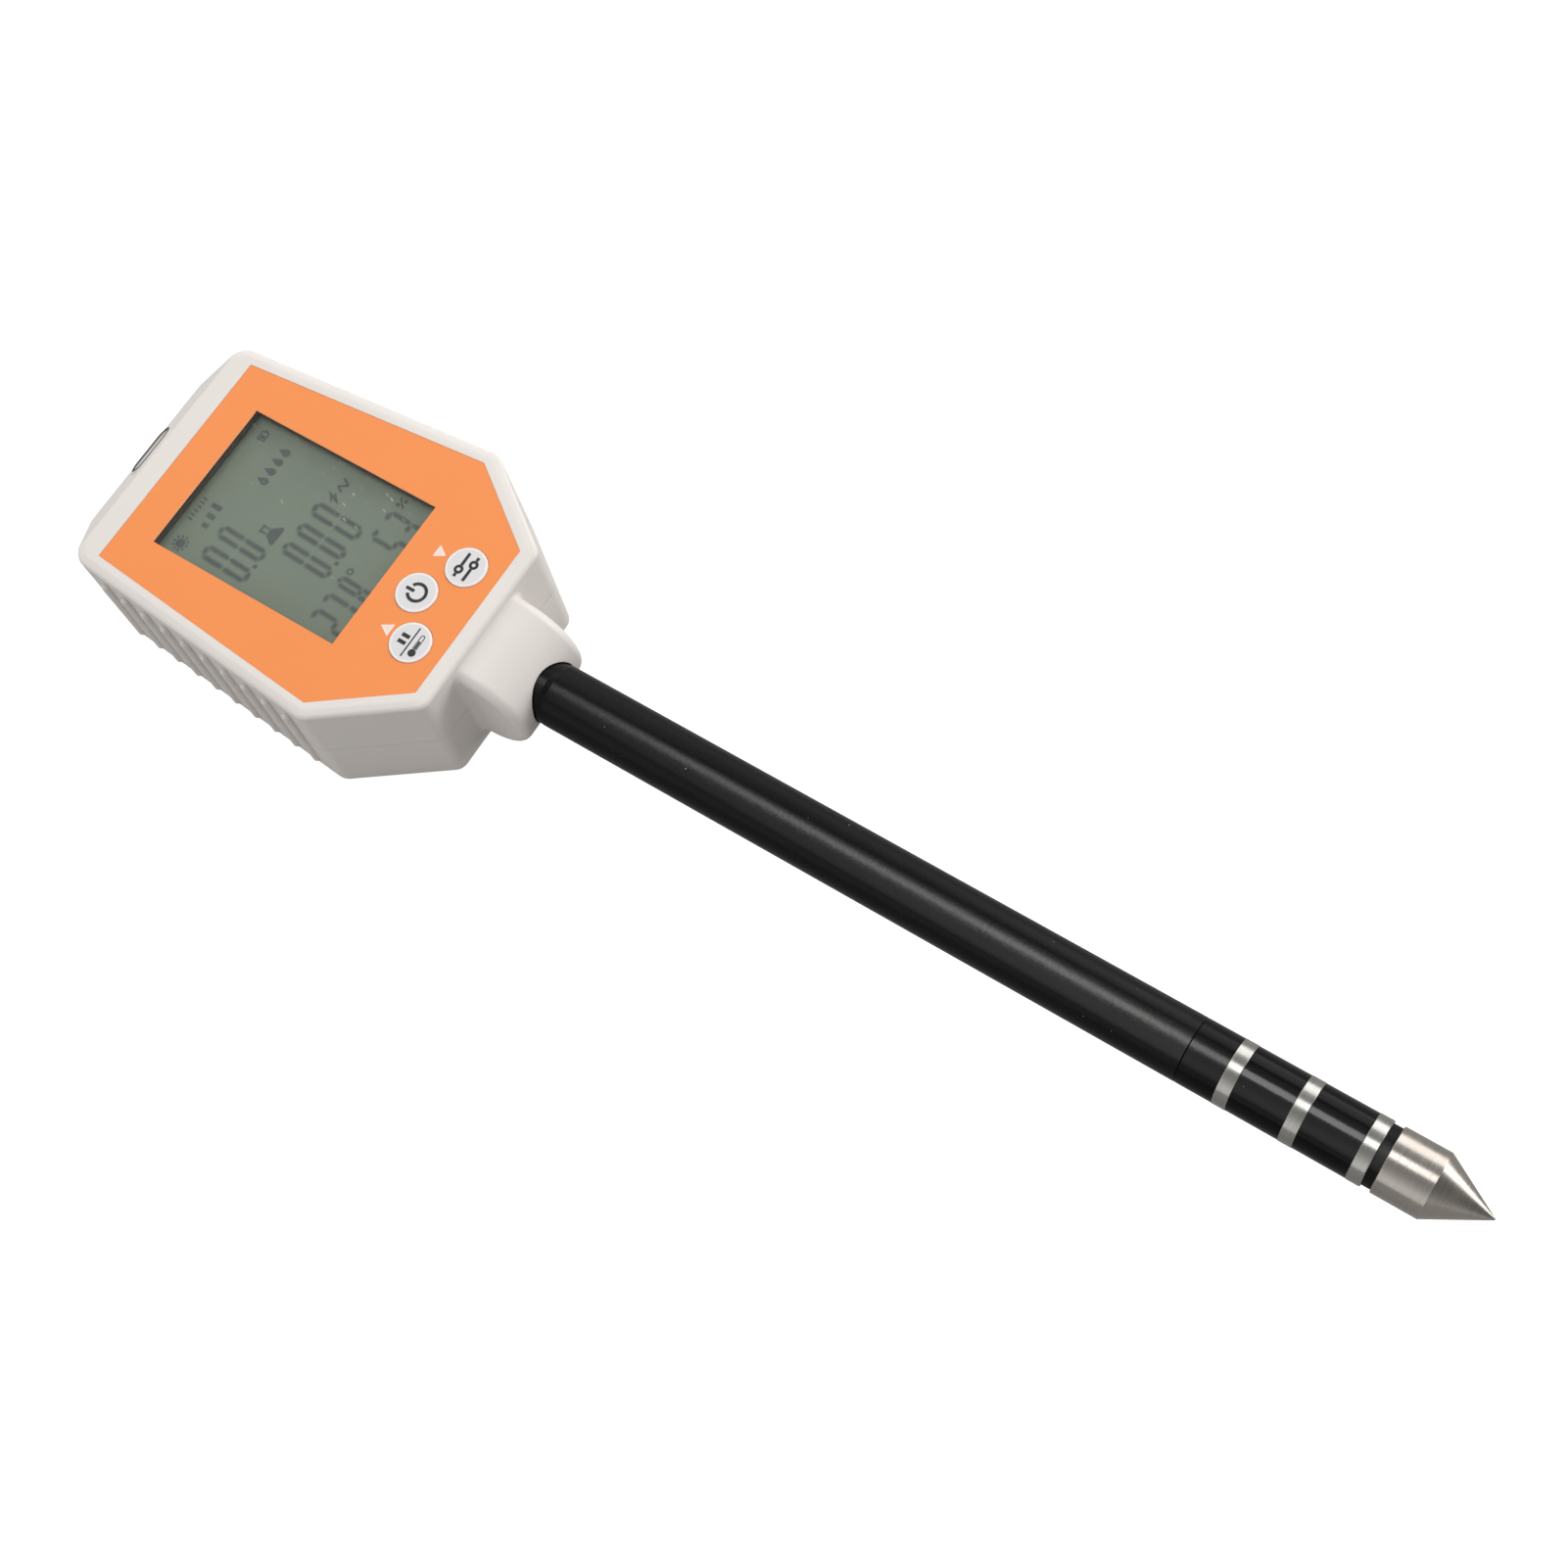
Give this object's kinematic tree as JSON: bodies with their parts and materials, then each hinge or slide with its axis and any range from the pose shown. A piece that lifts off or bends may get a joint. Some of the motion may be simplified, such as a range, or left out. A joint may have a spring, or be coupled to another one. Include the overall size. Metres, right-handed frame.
{
  "type": "soil tester",
  "caption": "Hand-held digital soil tester: a coffin-shaped head with display, keys and light sensor on a straight probe with ring electrodes and a pointed metal tip.",
  "frame": {"origin": "centre of the bounding box in plan, on the plane of the head's flat back, which it lies on", "axes": "+Y from the probe's tip towards the head's top end, +Z out of the display, +X to the right as the display is read"},
  "size_m": [0.0776, 0.3504, 0.0351],
  "materials": {
    "housing": "satin",
    "label": "satin",
    "window": "gloss",
    "display": "gloss",
    "display_frame": "matte",
    "elastomer": "matte",
    "keys": "satin",
    "plungers": "satin",
    "switches": "matte",
    "circuit_board": "satin",
    "chips": "matte",
    "screws": "satin",
    "bezel": "satin",
    "light_lens": "gloss",
    "diode": "gloss",
    "wires": "satin",
    "cells": "gloss",
    "contacts": "polished",
    "tube": "satin",
    "ferrule": "satin",
    "sensor_plastic": "gloss",
    "electrode": "satin",
    "seal": "matte",
    "cable": "satin",
    "bead": "gloss",
    "connector": "satin"
  },
  "bodies": {
    "root": {"front_cover": "housing", "rear_cover": "housing", "face_label": "label", "display_window": "window", "lcd_frame": "display_frame", "lcd_panel": "display", "zebra_strips": "elastomer", "switch_bodies": "switches", "main_board": "circuit_board", "board_chips": "chips", "board_screws": "screws", "cover_screws": "screws", "light_bezel": "bezel", "light_lens": "light_lens", "light_board": "circuit_board", "light_diode": "diode", "light_leads": "wires", "battery_leads": "wires", "battery_cells": "cells", "battery_contacts": "contacts", "probe_tube": "tube", "tube_ferrule": "ferrule", "sensor_body": "sensor_plastic", "insulator_sleeve_1": "sensor_plastic", "insulator_sleeve_2": "sensor_plastic", "electrode_ring_1": "electrode", "electrode_ring_2": "electrode", "electrode_ring_3": "electrode", "tip_electrode": "electrode", "tip_spacer": "seal", "thermistor": "bead", "probe_cable": "cable", "cable_plug": "connector", "board_header": "connector"},
    "power_key": {"power_button": "keys", "power_plunger": "plungers"},
    "left_key": {"left_button": "keys", "left_plunger": "plungers"},
    "right_key": {"right_button": "keys", "right_plunger": "plungers"},
    "battery_door": {"battery_door": "housing"}
  },
  "joints": [
    {"name": "power_press", "type": "slide", "parent": "root", "child": "power_key", "axis": [0, 0, -1], "range_m": [0, 0.0005], "stiffness_N_per_m": 2000},
    {"name": "left_press", "type": "slide", "parent": "root", "child": "left_key", "axis": [0, 0, -1], "range_m": [0, 0.0005], "stiffness_N_per_m": 2000},
    {"name": "right_press", "type": "slide", "parent": "root", "child": "right_key", "axis": [0, 0, -1], "range_m": [0, 0.0005], "stiffness_N_per_m": 2000},
    {"name": "door_slide", "type": "slide", "parent": "root", "child": "battery_door", "axis": [0, 1, 0], "range_m": [0, 0.065]}
  ]
}
